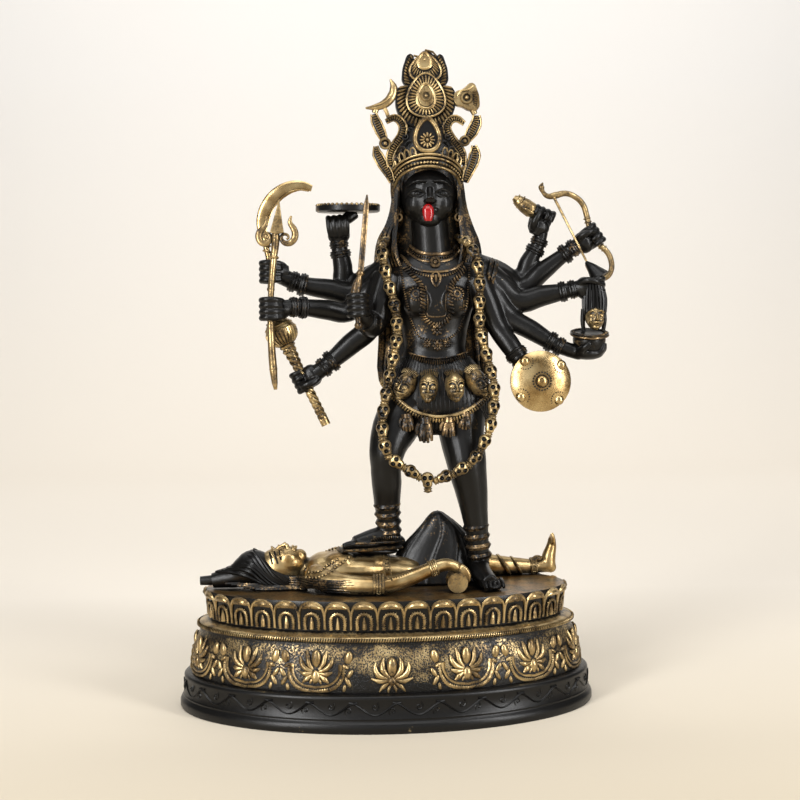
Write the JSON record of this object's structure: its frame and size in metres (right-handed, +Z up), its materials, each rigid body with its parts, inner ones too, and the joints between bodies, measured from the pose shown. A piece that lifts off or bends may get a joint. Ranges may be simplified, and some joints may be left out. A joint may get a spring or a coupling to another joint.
{
  "type": "kali figure",
  "caption": "Cast brass goddess standing with many arms and attributes on a reclining figure, over an oval lotus base with petals and vine scroll",
  "frame": {"origin": "middle of the oval base's flat underside", "axes": "+Z up, +X to the viewer's right along the base's length, the front faces -Y"},
  "size_m": [0.3615, 0.2076, 0.53],
  "materials": {
    "antiqued_brass": "cast brass with polished highlights and black patina left in the recesses",
    "blackened_brass": "cast brass under a smooth semi-gloss black patina, rubbed brown on raised places"
  },
  "bodies": {
    "root": {"lotus_base": "antiqued_brass", "reclining_figure": "antiqued_brass", "standing_figure": "blackened_brass", "trident": "antiqued_brass", "curved_sword": "antiqued_brass", "straight_sword": "antiqued_brass", "mace": "antiqued_brass", "bow": "antiqued_brass", "discus": "antiqued_brass", "shield": "antiqued_brass"}
  },
  "joints": []
}
